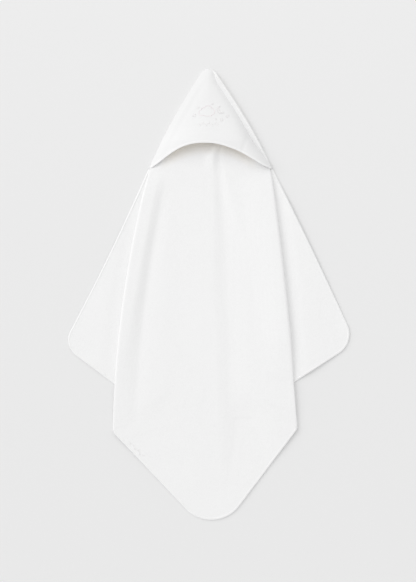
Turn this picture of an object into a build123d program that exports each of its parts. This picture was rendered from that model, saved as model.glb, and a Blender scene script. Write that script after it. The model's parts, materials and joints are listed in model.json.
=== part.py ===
from build123d import *
from math import atan2, sin
import os

# Hooded baby towel, laid flat with its front up: +X is to the right, +Y to the tip of the hood, +Z up.
# Both side corners are pleated under the front. The origin is on the surface, below the middle.

# Overall sizes, in mm
laid_length = 1080
laid_width = 674

# Cloth, tape and thread
cloth_thickness = 2.5
hood_thickness = 2.0
layer_gap = 0.2
tape_width = 5
tape_thickness = 0.5
thread_width = 0.9
thread_height = 0.35
seam_inset = 3.4              # row of stitches, from the outer edge
body_gap = 1.0                # between two bodies at a fold

# Hood
hood_depth = 238              # tip of the hood to the ends of its hem
hood_rise = 25                # height of the hood's mouth
hood_middle_rise = 19
hood_tip_rise = 3
hood_tip_length = 22          # the last section, from the tip
hem_crest_depth = 174         # tip of the hood to the highest point of the hem
hem_crest_x = -8
hem_shoulder = 92             # points where the hem bends, from its crest
hem_shoulder_drop = 34
tip_overshoot = 20            # sharp corner beyond the rounded tip

# Lower corner
foot_overshoot = 46
foot_corner_x = 14
foot_fold = 190               # fold line of the lower corner, from its tip

# Pleats: the cloth turns under at the folded edge, in to pleat_inner, and out again below that
pleat_inner = 103
ramp_inner = 80               # where the front starts to rise over the pleats
pleat_top_drop = 52           # hood ends to the top of the pleat layers
ramp_top_drop = 15
pleat_foot_rise = 278         # lower tip to the foot of the pleat layers
ramp_foot_rise = 218
wing_top_drop = 60            # hood ends to the top of each wing
settled_lift = 0.1

# Hood seams and the ends of the hem
flange = 7                    # flat edge of the panel, caught in the tape
bar_length = 8
bar_width = 2
bar_height = 0.8
bar_inset = 2.2               # from the outer edge, beside the row of stitches

# Embroidery on the hood: places from the middle of the motif, and sizes
motif_x = 7
motif_depth = 112             # tip of the hood to the middle of the motif
motif_height = 0.5
motif_line = 1.5
cloud_place = (-10, 8)
cloud_puffs = [(-14, -2, 7), (-8, 3, 8), (2, 6, 10), (10, 1, 8.5), (-2, -3, 8), (6, -3, 8)]
moon_place = (22, 13)
moon_radius = 10
moon_bite = 8.5
moon_bite_place = (6, 3)
star_places = [(2, 28, 4), (-32, 19, 3.5), (38, -2, 5), (10, -9, 3.5)]
flower_places = [(-41, 0, 5.5), (24, -11, 4.5)]
petal_count = 5
petal_share = 0.66
sprig_place = (-6, -21)
sprig_leaves = 7
sprig_pitch = 7.5
sprig_leaf = (3.2, 1.3)       # half length and half width
sprig_leaf_lean = 50
sprig_leaf_offset = 2.6
backing_width = 104
backing_length = 64
backing_thickness = 0.3

# Sprig beside the lower left edge
edge_leaves = 6
edge_leaf_pitch = 8.5
edge_leaf = (3.4, 1.3)
edge_leaf_lean = 45
edge_leaf_offset = 2.2
edge_motif_inset = 11

# Care label
label_width = 25
label_length = 38
label_thickness = 0.12
label_x = -160

# Lengths below the hood are drawn for this run from hood ends to lower tip, and follow the real one
drawn_run = 842
hinge_drop = 315              # hood ends to the middle of each wing's fold

# Each side, with distances from the middle line, and heights down from the hood ends or up from the lower tip
sides = {
    "left": {
        "sign": -1,
        "hood_end": 143,
        "fold_top": 145,
        "fold_middle": 203,
        "fold_foot": 230,
        "fold_foot_rise": 212,
        "corner_overshoot": 12,
        "corner_drop": 424,
        "corner_radius": 48,
        "edge_meets_fold": 222,
        "edge_drop": 519,
        "inner_edge_drop": 554,
        "hinge_middle": 207,
        "hinge_slope": 0.15,
    },
    "right": {
        "sign": 1,
        "hood_end": 153,
        "fold_top": 151,
        "fold_middle": 186,
        "fold_foot": 214,
        "fold_foot_rise": 220,
        "corner_overshoot": 15,
        "corner_drop": 417,
        "corner_radius": 52,
        "edge_meets_fold": 205,
        "edge_drop": 512,
        "inner_edge_drop": 545,
        "hinge_middle": 191,
        "hinge_slope": 0.115,
    },
}

tip_y = laid_length / 2
foot_y = -laid_length / 2
hood_y = tip_y - hood_depth
stretch = (hood_y - foot_y) / drawn_run
hinge_middle_y = hood_y - hinge_drop * stretch
foot_fold_y = foot_y + foot_fold * stretch
pleat_top_y = hood_y - pleat_top_drop * stretch
ramp_top_y = hood_y - ramp_top_drop
pleat_foot_y = foot_y + pleat_foot_rise * stretch
ramp_foot_y = foot_y + ramp_foot_rise * stretch
wing_top_y = hood_y - wing_top_drop * stretch
pleat_level = cloth_thickness + layer_gap
front_lift = 2 * pleat_level
far = 2 * max(laid_length, laid_width)

for side in sides.values():
    corner_x = side["sign"] * (laid_width / 2 + side["corner_overshoot"])
    side["corner"] = (corner_x, hood_y - side["corner_drop"] * stretch)
    side["end"] = (side["sign"] * side["hood_end"], hood_y)
    side["fold_foot_y"] = foot_y + side["fold_foot_rise"] * stretch
    side["edge_y"] = hood_y - side["edge_drop"] * stretch
    top_x = side["hinge_middle"] - side["hinge_slope"] * (wing_top_y - hinge_middle_y)
    side["hinge_top"] = (side["sign"] * top_x, wing_top_y)


# Plan outlines

def hood_outline():
    """The towel's top corner, with straight sewn sides."""
    left_end = sides["left"]["end"]
    right_end = sides["right"]["end"]
    sharp_y = tip_y + tip_overshoot
    half_angle = (atan2(-left_end[0], sharp_y - hood_y) + atan2(right_end[0], sharp_y - hood_y)) / 2
    tip_radius = tip_overshoot / (1 / sin(half_angle) - 1)
    beyond = 2
    left_far = (left_end[0] * beyond, sharp_y - (sharp_y - hood_y) * beyond)
    right_far = (right_end[0] * beyond, sharp_y - (sharp_y - hood_y) * beyond)
    with BuildSketch() as outline:
        with BuildLine():
            FilletPolyline(left_far, (0, sharp_y), right_far, radius=[0, tip_radius, 0], close=True)
        make_face()
    return outline.sketch


def foot_outline():
    """The lower corner, with its two bound edges run on past the pleats."""
    sharp = (foot_corner_x, foot_y - foot_overshoot)
    reach = 1.5
    ends = []
    for side in sides.values():
        run_x = side["sign"] * side["fold_foot"] - sharp[0]
        run_y = side["fold_foot_y"] - sharp[1]
        ends.append((sharp[0] + run_x * reach, sharp[1] + run_y * reach))
    left_slope = atan2(sharp[0] - ends[0][0], ends[0][1] - sharp[1])
    right_slope = atan2(ends[1][0] - sharp[0], ends[1][1] - sharp[1])
    corner_radius = foot_overshoot / (1 / sin((left_slope + right_slope) / 2) - 1)
    with BuildSketch() as outline:
        with BuildLine():
            FilletPolyline(ends[0], sharp, ends[1], radius=[0, corner_radius, 0], close=True)
        make_face()
    return outline.sketch


def front_outline():
    """The front between its two folded edges, down to the sharp lower corner."""
    left = sides["left"]
    right = sides["right"]
    sharp = (foot_corner_x, foot_y - foot_overshoot)
    left_top = (-left["fold_top"], ramp_top_y)
    right_top = (right["fold_top"], ramp_top_y)
    left_foot = (-left["fold_foot"], left["fold_foot_y"])
    right_foot = (right["fold_foot"], right["fold_foot_y"])
    with BuildSketch() as outline:
        with BuildLine():
            ThreePointArc(left_top, (-left["fold_middle"], hinge_middle_y), left_foot)
            Polyline(left_foot, sharp, right_foot)
            ThreePointArc(right_foot, (right["fold_middle"], hinge_middle_y), right_top)
            Line(right_top, left_top)
        make_face()
    return outline.sketch


def side_outline(side):
    """One side corner with the cloth that runs on from it under the front, past its inner fold."""
    sign = side["sign"]
    inner_x = sign * (pleat_inner - 6 * tape_width)
    meets = (sign * side["edge_meets_fold"], side["edge_y"])
    inner_low = (inner_x, hood_y - side["inner_edge_drop"] * stretch)
    inner_high = (inner_x, hood_y)
    corners = [side["end"], side["corner"], meets, inner_low, inner_high]
    radii = [0, side["corner_radius"], 0, 0, 0]
    with BuildSketch() as outline:
        with BuildLine():
            FilletPolyline(*corners, radius=radii, close=True)
        make_face()
    return outline.sketch


def band(low_y, high_y):
    """Everything between two heights on the plan."""
    with BuildSketch() as strip:
        with Locations((0, low_y)):
            Rectangle(far, high_y - low_y, align=(Align.CENTER, Align.MIN))
    return strip.sketch


def wing_zone(side, gap):
    """The plan outside a wing's hinge line and below its top cut, moved outwards by gap."""
    length = (1 + side["hinge_slope"] ** 2) ** 0.5
    outward = Vector(side["sign"], side["hinge_slope"]) / length
    upward = Vector(-side["sign"] * side["hinge_slope"], 1) / length
    start = Vector(*side["hinge_top"]) + (outward - upward) * gap
    corners = [start, start + outward * far, start + (outward - upward) * far, start - upward * far]
    with BuildSketch() as zone:
        with BuildLine():
            Polyline(*corners, close=True)
        make_face()
    return zone.sketch


def covered_zone():
    """The front above the pleat layers, with a small gap round it."""
    with BuildSketch() as zone:
        add(front_outline())
        add(band(pleat_top_y, hood_y), mode=Mode.INTERSECT)
        offset(amount=2 * layer_gap, kind=Kind.INTERSECTION, mode=Mode.REPLACE)
    return zone.sketch


def pleat_zone(side):
    """The plan under the front on one side, from the inner fold outwards, without the wing."""
    with BuildSketch() as zone:
        with Locations((side["sign"] * pleat_inner, ramp_top_y)):
            Rectangle(far, far, align=(Align.MIN if side["sign"] > 0 else Align.MAX, Align.MAX))
        add(covered_zone(), mode=Mode.SUBTRACT)
        add(wing_zone(side, -body_gap / 2), mode=Mode.SUBTRACT)
    return zone.sketch


def inset(outline, distance):
    """An outline moved inwards all round."""
    with BuildSketch() as smaller:
        add(outline)
        offset(amount=-distance, kind=Kind.INTERSECTION, mode=Mode.REPLACE)
    return smaller.sketch


# Cloth, tape and thread, each cut to a zone of the plan

seat_height = cloth_thickness - tape_thickness
tape_height = cloth_thickness + tape_thickness


def cloth(outline, zone):
    """Cloth that is pressed thinner where the tape folds over its edge."""
    with BuildPart() as piece:
        with BuildSketch():
            add(inset(outline, tape_width))
        extrude(amount=cloth_thickness)
        with BuildSketch(Plane.XY.offset(tape_thickness)):
            add(inset(outline, tape_thickness))
        extrude(amount=seat_height)
        with BuildSketch():
            add(zone)
        extrude(amount=cloth_thickness, mode=Mode.INTERSECT)
    return piece.part


def tape(outline, zone, height):
    """Tape folded round an edge, open on its inner side for the cloth."""
    with BuildPart() as piece:
        with BuildSketch():
            add(outline)
            add(inset(outline, tape_width), mode=Mode.SUBTRACT)
        extrude(amount=height)
        with BuildSketch(Plane.XY.offset(tape_thickness)):
            add(inset(outline, tape_thickness))
        extrude(amount=height - 2 * tape_thickness, mode=Mode.SUBTRACT)
        with BuildSketch():
            add(zone)
        extrude(amount=height, mode=Mode.INTERSECT)
    return piece.part


def stitching(outline, zone, level):
    """A row of stitches as one fine bead on top of the tape."""
    with BuildPart() as piece:
        with BuildSketch(Plane.XY.offset(level)):
            add(inset(outline, seam_inset))
            add(inset(outline, seam_inset + thread_width), mode=Mode.SUBTRACT)
            add(zone, mode=Mode.INTERSECT)
        extrude(amount=thread_height)
    return piece.part


def save(piece, name):
    piece.label = name
    export_step(piece, f"parts/{name}.step")


os.makedirs("parts", exist_ok=True)

# Towel: the whole front, up over the pleats on both sides, and the back of the hood


def front_station(y, lift):
    """Section of the front across the towel, flat in the middle and lifted over the pleats."""
    edge = laid_width
    with BuildSketch(Plane.XZ.offset(-y)) as section:
        with BuildLine():
            Polyline(
                (-edge, lift),
                (-pleat_inner, lift),
                (-ramp_inner, 0),
                (ramp_inner, 0),
                (pleat_inner, lift),
                (edge, lift),
                (edge, lift + cloth_thickness),
                (pleat_inner, lift + cloth_thickness),
                (ramp_inner, cloth_thickness),
                (-ramp_inner, cloth_thickness),
                (-pleat_inner, lift + cloth_thickness),
                (-edge, lift + cloth_thickness),
                close=True,
            )
        make_face()
    return section.sketch


with BuildPart() as pleated_front:
    front_stations = [
        front_station(ramp_foot_y, settled_lift),
        front_station(pleat_foot_y, front_lift),
        front_station(pleat_top_y, front_lift),
        front_station(ramp_top_y, settled_lift),
    ]
    loft(sections=[section.face() for section in front_stations], ruled=True)
    with BuildSketch():
        add(front_outline())
    extrude(amount=2 * front_lift, mode=Mode.INTERSECT)

with BuildSketch() as lower_front_zone:
    add(front_outline())
    add(band(foot_fold_y + body_gap / 2, ramp_foot_y), mode=Mode.INTERSECT)

with BuildPart() as towel_centre:
    add(cloth(hood_outline(), band(ramp_top_y, tip_y)))
    add(cloth(foot_outline(), lower_front_zone.sketch))
    add(pleated_front.part)
save(towel_centre.part, "towel_centre")

save(tape(foot_outline(), lower_front_zone.sketch, tape_height), "front_edge_binding")
save(stitching(foot_outline(), lower_front_zone.sketch, tape_height), "front_edge_stitching")

# Pleats under the front, and the two side corners

for side_name, side in sides.items():
    outline = side_outline(side)
    inner = Align.MIN if side["sign"] > 0 else Align.MAX
    with BuildSketch() as middle_zone:
        add(front_outline())
        with Locations((side["sign"] * pleat_inner, pleat_foot_y)):
            Rectangle(far, pleat_top_y - pleat_foot_y, align=(inner, Align.MIN), mode=Mode.INTERSECT)

    with BuildPart() as pleat_middle:
        with BuildSketch(Plane.XY.offset(pleat_level)):
            add(middle_zone.sketch)
            add(band(pleat_foot_y, pleat_foot_y + tape_width), mode=Mode.SUBTRACT)
        extrude(amount=cloth_thickness)
    save(pleat_middle.part, f"{side_name}_pleat_middle")

    with BuildPart() as pleat_binding:
        with BuildSketch(Plane.XY.offset(pleat_level)):
            add(middle_zone.sketch)
            add(band(pleat_foot_y, pleat_foot_y + tape_width), mode=Mode.INTERSECT)
        extrude(amount=cloth_thickness)
    save(pleat_binding.part, f"{side_name}_pleat_binding")

    with BuildPart() as pleat_base:
        with BuildSketch():
            add(inset(outline, tape_width))
            add(pleat_zone(side), mode=Mode.INTERSECT)
        extrude(amount=cloth_thickness)
    save(pleat_base.part, f"{side_name}_pleat_base")

    with BuildPart() as base_binding:
        with BuildSketch():
            add(outline)
            add(inset(outline, tape_width), mode=Mode.SUBTRACT)
            add(pleat_zone(side), mode=Mode.INTERSECT)
        extrude(amount=cloth_thickness)
    save(base_binding.part, f"{side_name}_base_binding")

    zone = wing_zone(side, body_gap / 2)
    save(cloth(outline, zone), f"{side_name}_wing_cloth")
    save(tape(outline, zone, tape_height), f"{side_name}_wing_binding")
    save(stitching(outline, zone, tape_height), f"{side_name}_wing_stitching")

# Lower corner

foot_zone = band(foot_y, foot_fold_y - body_gap / 2)
save(cloth(foot_outline(), foot_zone), "foot_cloth")
save(tape(foot_outline(), foot_zone, tape_height), "foot_binding")
save(stitching(foot_outline(), foot_zone, tape_height), "foot_stitching")

# Hood: one panel arched over the towel's top corner, with its mouth towards the foot

leg_run = tip_y + tip_overshoot - hood_y
hem_crest = (hem_crest_x, tip_y - hem_crest_depth)


def hood_station(y, rise, low, high):
    """Section of the hood across the towel, between two heights above the panel's underside."""
    share = (tip_y + tip_overshoot - y) / leg_run
    left_x = sides["left"]["end"][0] * share
    right_x = sides["right"]["end"][0] * share
    middle_x = (left_x + right_x) / 2
    under = cloth_thickness + low
    top = cloth_thickness + high
    with BuildSketch(Plane.XZ.offset(-y)) as section:
        with BuildLine():
            Line((left_x, under), (left_x + flange, under))
            ThreePointArc((left_x + flange, under), (middle_x, under + rise), (right_x - flange, under))
            Polyline((right_x - flange, under), (right_x, under), (right_x, top))
            Line((right_x, top), (right_x - flange, top))
            ThreePointArc((right_x - flange, top), (middle_x, top + rise), (left_x + flange, top))
            Polyline((left_x + flange, top), (left_x, top), (left_x, under))
        make_face()
    return section.sketch


def hood_shell(low, high):
    """The arched space between two heights above the panel's underside."""
    rises = {
        hood_y - tape_width: hood_rise,
        hem_crest[1]: hood_rise,
        (hem_crest[1] + tip_y) / 2: hood_middle_rise,
        tip_y - hood_tip_length: hood_tip_rise,
    }
    with BuildPart() as shell:
        loft(sections=[hood_station(y, rise, low, high).face() for y, rise in rises.items()], ruled=True)
    return shell.part


def hem_zone(start, depth):
    """The plan strip behind the arched hem, from start to start + depth."""
    left_end = sides["left"]["end"]
    right_end = sides["right"]["end"]
    shoulder_y = hem_crest[1] - hem_shoulder_drop
    with BuildSketch() as zone:
        with BuildLine() as hem:
            Spline(
                (left_end[0] - tape_width, left_end[1] + start - tape_width / 2),
                (hem_crest[0] - hem_shoulder, shoulder_y + start),
                (hem_crest[0], hem_crest[1] + start),
                (hem_crest[0] + hem_shoulder, shoulder_y + start),
                (right_end[0] + tape_width, right_end[1] + start - tape_width / 2),
            )
            Line(hem.line @ 1, hem.line @ 1 + (0, depth))
            Spline(
                (right_end[0] + tape_width, right_end[1] + start + depth - tape_width / 2),
                (hem_crest[0] + hem_shoulder, shoulder_y + start + depth),
                (hem_crest[0], hem_crest[1] + start + depth),
                (hem_crest[0] - hem_shoulder, shoulder_y + start + depth),
                (left_end[0] - tape_width, left_end[1] + start + depth - tape_width / 2),
            )
            Line(
                (left_end[0] - tape_width, left_end[1] + start + depth - tape_width / 2),
                (left_end[0] - tape_width, left_end[1] + start - tape_width / 2),
            )
        make_face()
    return zone.sketch


hood_height = hood_rise + cloth_thickness + hood_thickness + 2 * tape_thickness + thread_height
leg_height = tape_height + hood_thickness

with BuildPart() as hood_panel:
    add(hood_shell(0, hood_thickness))
    with BuildSketch(Plane.XY.offset(cloth_thickness)):
        add(inset(hood_outline(), tape_thickness))
        add(band(tip_y - hood_tip_length, tip_y), mode=Mode.INTERSECT)
    extrude(amount=hood_thickness)
    with BuildSketch():
        add(inset(hood_outline(), tape_thickness))
        add(hem_zone(tape_thickness, hood_depth), mode=Mode.INTERSECT)
    extrude(amount=hood_height, mode=Mode.INTERSECT)
save(hood_panel.part, "hood_panel")

hem_clearance = flange + 2 * tape_width
with BuildPart() as hood_hem_binding:
    add(hood_shell(-tape_thickness, hood_thickness + tape_thickness))
    with BuildSketch():
        add(inset(hood_outline(), hem_clearance))
        add(hem_zone(0, tape_width), mode=Mode.INTERSECT)
    extrude(amount=hood_height, mode=Mode.INTERSECT)
    add(hood_panel.part, mode=Mode.SUBTRACT)
save(hood_hem_binding.part, "hood_hem_binding")

with BuildPart() as hood_hem_stitching:
    add(hood_shell(hood_thickness + tape_thickness, hood_thickness + tape_thickness + thread_height))
    with BuildSketch():
        add(inset(hood_outline(), hem_clearance))
        add(hem_zone(seam_inset, thread_width), mode=Mode.INTERSECT)
    extrude(amount=hood_height, mode=Mode.INTERSECT)
save(hood_hem_stitching.part, "hood_hem_stitching")

hood_sides = band(ramp_top_y + body_gap, tip_y)
save(tape(hood_outline(), hood_sides, leg_height), "hood_side_binding")
save(stitching(hood_outline(), hood_sides, leg_height), "hood_side_stitching")

# A short bar of stitches ties each end of the hem to the towel

for side_name, side in sides.items():
    leg = Vector(-side["end"][0], leg_run).normalized()
    across = Vector(-side["sign"] * leg.Y, side["sign"] * leg.X)
    place = Vector(*side["end"]) + leg * bar_length + across * bar_inset
    with BuildPart() as bar_tack:
        with BuildSketch(Plane((place.X, place.Y, leg_height), x_dir=(leg.X, leg.Y, 0))):
            SlotOverall(bar_length, bar_width)
        extrude(amount=bar_height)
    save(bar_tack.part, f"{side_name}_bar_tack")

# Embroidery on the hood: raised outlines, and the soft backing under the panel


def motif_plane(x, y):
    """A plane on the plan, at a place measured from the middle of the motif."""
    return Plane((motif_x + x, tip_y - motif_depth + y, 0))


def puffs(circles, shrink):
    """Overlapping discs as one shape, each drawn in by shrink."""
    with BuildSketch() as shape:
        for x, y, radius in circles:
            with Locations((x, y)):
                Circle(radius - shrink)
    return shape.sketch


def raised(sketch):
    """Embroidery of this plan shape on top of the arched panel."""
    with BuildPart() as thread:
        add(hood_shell(hood_thickness, hood_thickness + motif_height))
        with BuildSketch():
            add(sketch)
        extrude(amount=hood_height, mode=Mode.INTERSECT)
    return thread.part


with BuildSketch(motif_plane(*cloud_place)) as cloud:
    add(puffs(cloud_puffs, 0))
    add(puffs(cloud_puffs, motif_line), mode=Mode.SUBTRACT)
save(raised(cloud.sketch), "motif_cloud")

with BuildSketch() as moon_inside:
    Circle(moon_radius - motif_line)
    with Locations(moon_bite_place):
        Circle(moon_bite + motif_line, mode=Mode.SUBTRACT)
with BuildSketch(motif_plane(*moon_place)) as moon:
    Circle(moon_radius)
    with Locations(moon_bite_place):
        Circle(moon_bite, mode=Mode.SUBTRACT)
    add(moon_inside.sketch, mode=Mode.SUBTRACT)
save(raised(moon.sketch), "motif_moon")

with BuildSketch() as stars:
    for x, y, radius in star_places:
        with Locations((motif_x + x, tip_y - motif_depth + y)):
            RegularPolygon(radius, 3, rotation=30)
            RegularPolygon(radius, 3, rotation=-30)
save(raised(stars.sketch), "motif_stars")

with BuildSketch() as flowers:
    for x, y, radius in flower_places:
        with Locations((motif_x + x, tip_y - motif_depth + y)):
            with PolarLocations(radius, petal_count, start_angle=90):
                Circle(radius * petal_share)
            with PolarLocations(radius, petal_count, start_angle=90):
                Circle(radius * petal_share - motif_line, mode=Mode.SUBTRACT)
save(raised(flowers.sketch), "motif_flowers")

with BuildSketch(motif_plane(*sprig_place)) as sprig:
    Rectangle(sprig_leaves * sprig_pitch, motif_line)
    for index in range(sprig_leaves):
        lean = 1 if index % 2 else -1
        leaf_place = ((index - sprig_leaves // 2) * sprig_pitch, lean * sprig_leaf_offset)
        with Locations(Location(leaf_place, lean * sprig_leaf_lean)):
            Ellipse(*sprig_leaf)
save(raised(sprig.sketch), "motif_sprig")

with BuildPart() as embroidery_backing:
    add(hood_shell(-backing_thickness, 0))
    with BuildSketch(motif_plane(0, 0)):
        Ellipse(backing_width / 2, backing_length / 2)
    extrude(amount=hood_height, mode=Mode.INTERSECT)
save(embroidery_backing.part, "embroidery_backing")

# A small sprig beside the lower left edge, on the folding corner

edge_start = Vector(-sides["left"]["fold_foot"], sides["left"]["fold_foot_y"])
edge_run = (Vector(foot_corner_x, foot_y - foot_overshoot) - edge_start).normalized()
edge_in = Vector(-edge_run.Y, edge_run.X)
first_leaf = edge_start + edge_run * ((foot_fold_y - edge_start.Y - edge_motif_inset) / edge_run.Y)
edge_middle = first_leaf + edge_run * (edge_leaf_pitch * edge_leaves / 2) + edge_in * edge_motif_inset
edge_origin = (edge_middle.X, edge_middle.Y, cloth_thickness)

with BuildPart() as edge_sprig:
    with BuildSketch(Plane(edge_origin, x_dir=(edge_run.X, edge_run.Y, 0))):
        Rectangle(edge_leaf_pitch * (edge_leaves - 1), thread_width)
        for index in range(edge_leaves):
            lean = 1 if index % 2 else -1
            leaf_place = ((index - (edge_leaves - 1) / 2) * edge_leaf_pitch, lean * edge_leaf_offset)
            with Locations(Location(leaf_place, lean * edge_leaf_lean)):
                Ellipse(*edge_leaf)
    extrude(amount=motif_height)
save(edge_sprig.part, "edge_sprig")

# Blank care label, between the layers of the left pleat

label_level = pleat_level + cloth_thickness + (layer_gap - label_thickness) / 2
with BuildPart() as care_label:
    with BuildSketch(Plane.XY.offset(label_level)):
        with Locations((label_x, pleat_foot_y)):
            Rectangle(label_width, label_length, align=(Align.CENTER, Align.MIN))
    extrude(amount=label_thickness)
save(care_label.part, "care_label")
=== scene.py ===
import bmesh
import bpy
import json
import math
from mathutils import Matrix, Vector, noise


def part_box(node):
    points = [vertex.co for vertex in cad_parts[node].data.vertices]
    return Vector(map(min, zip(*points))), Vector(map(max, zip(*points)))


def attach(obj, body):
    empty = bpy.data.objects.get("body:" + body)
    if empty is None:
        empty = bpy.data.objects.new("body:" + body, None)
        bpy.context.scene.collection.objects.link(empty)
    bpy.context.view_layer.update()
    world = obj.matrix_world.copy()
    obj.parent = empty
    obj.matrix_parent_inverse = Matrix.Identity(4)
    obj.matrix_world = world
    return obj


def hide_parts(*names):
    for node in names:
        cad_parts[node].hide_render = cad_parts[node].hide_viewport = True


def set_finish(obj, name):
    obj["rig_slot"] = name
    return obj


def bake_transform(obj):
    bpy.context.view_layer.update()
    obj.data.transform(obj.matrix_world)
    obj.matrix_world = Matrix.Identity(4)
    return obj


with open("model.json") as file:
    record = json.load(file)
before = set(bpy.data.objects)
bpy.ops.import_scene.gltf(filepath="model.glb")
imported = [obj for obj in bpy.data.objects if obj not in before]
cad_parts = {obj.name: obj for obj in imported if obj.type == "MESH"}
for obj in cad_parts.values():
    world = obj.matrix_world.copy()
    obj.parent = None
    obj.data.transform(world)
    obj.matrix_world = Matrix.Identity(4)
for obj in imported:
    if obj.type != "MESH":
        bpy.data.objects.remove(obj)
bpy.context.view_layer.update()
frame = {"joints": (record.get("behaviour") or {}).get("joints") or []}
mm = 0.001

# The laid towel's lines, in mm, from the frame where it has them
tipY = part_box("hood_side_binding")[1].y / mm
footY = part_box("foot_binding")[0].y / mm
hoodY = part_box("hood_panel")[0].y / mm                 # ends of the hood's hem
innerFold = -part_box("left_pleat_middle")[1].x / mm     # where the pleats turn back under the front
joints = {joint["child"]: joint for joint in frame["joints"]}
sides = {
    "left": {"sign": -1, "hoodEnd": (-143, hoodY), "corner": (-349, -122), "cornerRadius": 48,
             "meets": (-222, -217), "bow": 5.5, "fold": [(-145, 287), (-203, -13), (-230, -328)]},
    "right": {"sign": 1, "hoodEnd": (153, hoodY), "corner": (352, -115), "cornerRadius": 52,
              "meets": (205, -210), "bow": 2.5, "fold": [(151, 287), (186, -13), (214, -320)]},
}
hoodBow = 7.0                                          # how far the hood's sewn edges swell outwards
hoodTip = (0, tipY + 20)                               # sharp corners before they are rounded
footTip = (14, footY - 46)
foldTop = 300                                          # upper end of the side folds
seamEnd = 118                                          # where front and wing cloth part, under the front


def ease(low, high, value):
    t = min(1.0, max(0.0, (value - low) / (high - low)))
    return t * t * (3 - 2 * t)


def bell(value, middle, width):
    return math.exp(-((value - middle) / width) ** 2)


def mix(a, b, t):
    return a + (b - a) * t


def wave(x, y, size, seed=0):                          # slow unevenness, about -1 to 1
    return noise.noise(Vector((x / size, y / size, seed * 7.3)))


def resample(path, count=None, step=None):             # even spacing along a line
    lengths = [(b - a).length for a, b in zip(path, path[1:])]
    count = count or max(2, round(sum(lengths) / step) + 1)
    out, i, gone = [], 0, 0.0
    for k in range(count):
        target = sum(lengths) * k / (count - 1)
        while i < len(lengths) - 1 and gone + lengths[i] < target:
            gone += lengths[i]
            i += 1
        out.append(path[i].lerp(path[i + 1], min(1.0, (target - gone) / max(lengths[i], 1e-9))))
    return out


def roundedPath(points, radii, step=2.5):              # straight runs with rounded corners between them
    arcSteps = 16
    points = [Vector(p) for p in points]
    path = [points[0]]
    for before, corner, after, radius in zip(points, points[1:], points[2:], radii):
        back, onward = (before - corner).normalized(), (after - corner).normalized()
        half = back.angle(onward) / 2
        centre = corner + (back + onward).normalized() * radius / math.sin(half)
        start = corner + back * radius / math.tan(half) - centre
        end = corner + onward * radius / math.tan(half) - centre
        turn = math.atan2(start.x * end.y - start.y * end.x, start.dot(end))
        for i in range(arcSteps + 1):
            c, s = math.cos(turn * i / arcSteps), math.sin(turn * i / arcSteps)
            path.append(centre + Vector((start.x * c - start.y * s, start.x * s + start.y * c)))
    path.append(points[-1])
    return resample(path, step=step)


def through(points, y):                                # x at this y of the parabola through three points
    (xa, a), (xb, b), (xc, c) = points
    return (xa * (y - b) * (y - c) / (a - b) / (a - c)
            + xb * (y - a) * (y - c) / (b - a) / (b - c)
            + xc * (y - a) * (y - b) / (c - a) / (c - b))


def valueAt(stations, at):                             # straight runs between stations of (place, value)
    for (a, va), (b, vb) in zip(stations, stations[1:]):
        if min(a, b) <= at <= max(a, b):
            return mix(va, vb, (at - a) / (b - a))
    return stations[0][1] if abs(at - stations[0][0]) < abs(at - stations[-1][0]) else stations[-1][1]


def halves(path, lowest):                              # left and right half of a line, each from its tip
    tip = (min if lowest else max)(range(len(path)), key=lambda i: path[i].y)
    return {"left": path[tip::-1], "right": path[tip:]}


hoodPath = roundedPath([sides["left"]["hoodEnd"], hoodTip, sides["right"]["hoodEnd"]], [19.8])
footPath = roundedPath([sides["left"]["fold"][2], footTip, sides["right"]["fold"][2]], [83.5])
for p in hoodPath:
    share = min(1, max(0, (tipY - p.y) / (tipY - hoodY)))
    p.x += (-hoodBow if p.x < 0 else hoodBow) * math.sin(math.pi * share)
hoodHalves = halves(hoodPath, False)
footHalves = halves(footPath, True)
for side in sides.values():
    side["innerLow"] = Vector((side["sign"] * innerFold, side["meets"][1] - 33))
    side["outline"] = roundedPath([side["hoodEnd"], side["corner"], side["meets"]], [side["cornerRadius"]])
    for p in side["outline"]:                          # the upper edge isn't quite straight
        share = min(1, max(0, (hoodY - p.y) / (hoodY - side["corner"][1])))
        p.x += side["bow"] * math.sin(math.pi * share) * (1 if p.y > -100 else 0.15)
    share = (seamEnd - innerFold) / (abs(side["meets"][0]) - innerFold)
    side["seamLow"] = side["innerLow"].lerp(Vector(side["meets"]), share)


def foldX(name, y):                                    # folded edge of the front
    return through(sides[name]["fold"], y)


def legX(name, y):                                     # sewn edge of the hood
    return valueAt([(p.y, p.x) for p in hoodHalves[name]], y)


# Heights of the cloth's middle, in mm

cloth = {"thickness": 2.5, "floor": 1.3, "layer": 2.52, "waves": 0.45, "foldRadius": 3.4,
         "slack": 4.4,                                 # how far the front stands off between the pleats
         "mouthRise": 5.5,                             # how far it swells inside the hood
         "leftValley": 1.2}                            # soft dip beside the left fold

# lines down the front, as (y, value) from the hood to the lower corner
ridge = {"left": [(300, 3), (240, 6.6), (131, 8.6), (-109, 8), (-180, 6.5), (-229, 5), (-328, 3.5)],
         "right": [(300, 3), (240, 6.6), (131, 8), (11, 9), (-109, 9), (-170, 5.5), (-229, 1.8), (-328, 1)]}
# width of the flat top of the left ridge, and of the ridge with its slope
bandStart = [(290, 24), (131, 26), (11, 25), (-109, 15), (-229, 3), (-328, 1)]
bandEnd = [(290, 47), (131, 49), (11, 51), (-109, 55), (-229, 58), (-328, 54)]
trough = {"middle": [(400, 22), (311, 22), (227, 29), (131, 42), (11, 56), (-109, 70), (-229, 70), (-349, 82),
                     (-540, 90)],
          "left": [(340, 12), (227, 18), (131, 32), (11, 52), (-540, 60)],
          "right": [(340, 16), (227, 26), (131, 50), (11, 90), (-540, 100)],
          "depth": [(400, 0), (345, 0.9), (227, 3.0), (131, 3.6), (11, 4.2), (-229, 4.2), (-349, 3.4),
                    (-480, 1.2), (-540, 0)]}


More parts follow.
